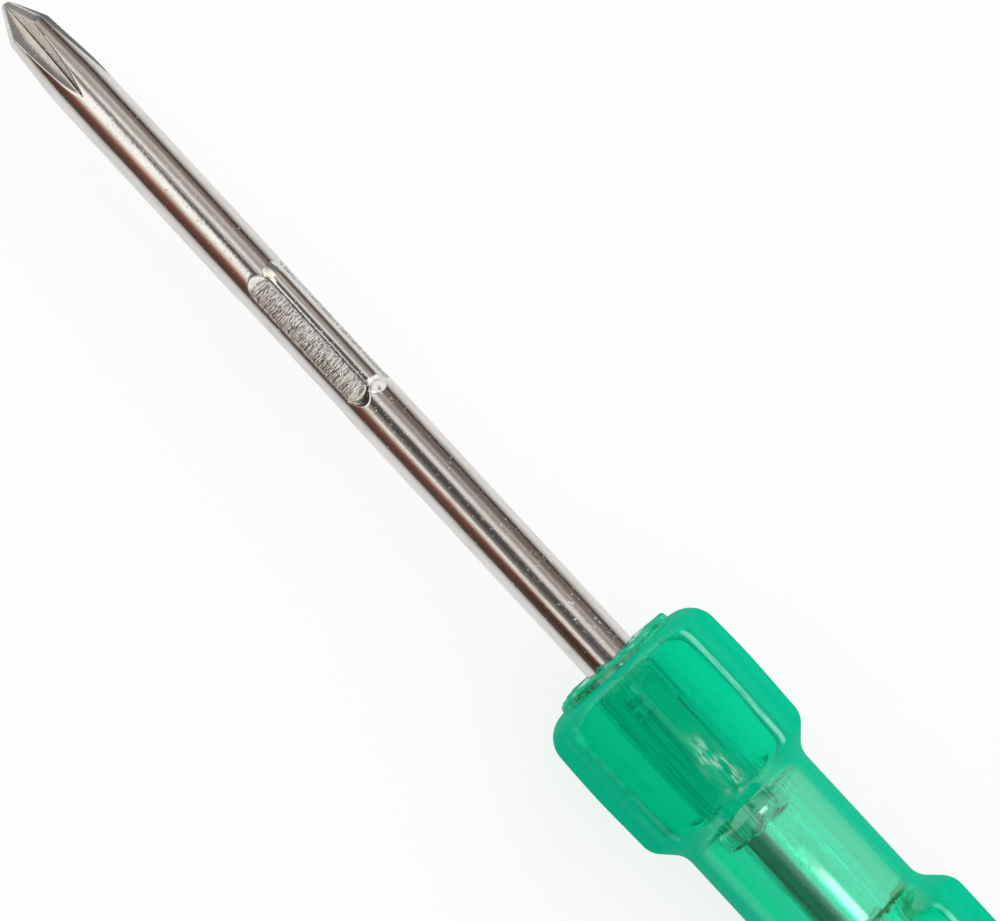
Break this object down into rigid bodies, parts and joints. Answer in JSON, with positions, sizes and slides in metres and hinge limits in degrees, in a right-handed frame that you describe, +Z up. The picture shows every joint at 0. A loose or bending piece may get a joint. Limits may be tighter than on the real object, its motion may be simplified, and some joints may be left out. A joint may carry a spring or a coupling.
{
  "type": "reversible screwdriver",
  "caption": "Hand screwdriver: a waisted, fluted clear green handle and a double-ended steel blade, cross point or slotted, held by pressed ears in a keyed socket.",
  "frame": {"origin": "on the table, under the middle of the whole tool's box", "axes": "+X along the tool from the cross point to the end of the handle, +Z up as it lies on a table"},
  "size_m": [0.188, 0.0202, 0.0203],
  "materials": {
    "handle_acetate": "translucent green cellulose acetate, moulded, polished",
    "blade_steel": "bright plated steel, with a ground cross point and pressed ears"
  },
  "bodies": {
    "handle": {"handle": "handle_acetate"},
    "blade": {"blade": "blade_steel"}
  },
  "joints": [
    {"name": "blade_slide", "type": "slide", "parent": "handle", "child": "blade", "axis": [-1, 0, 0], "range_m": [0, 0.066]}
  ]
}
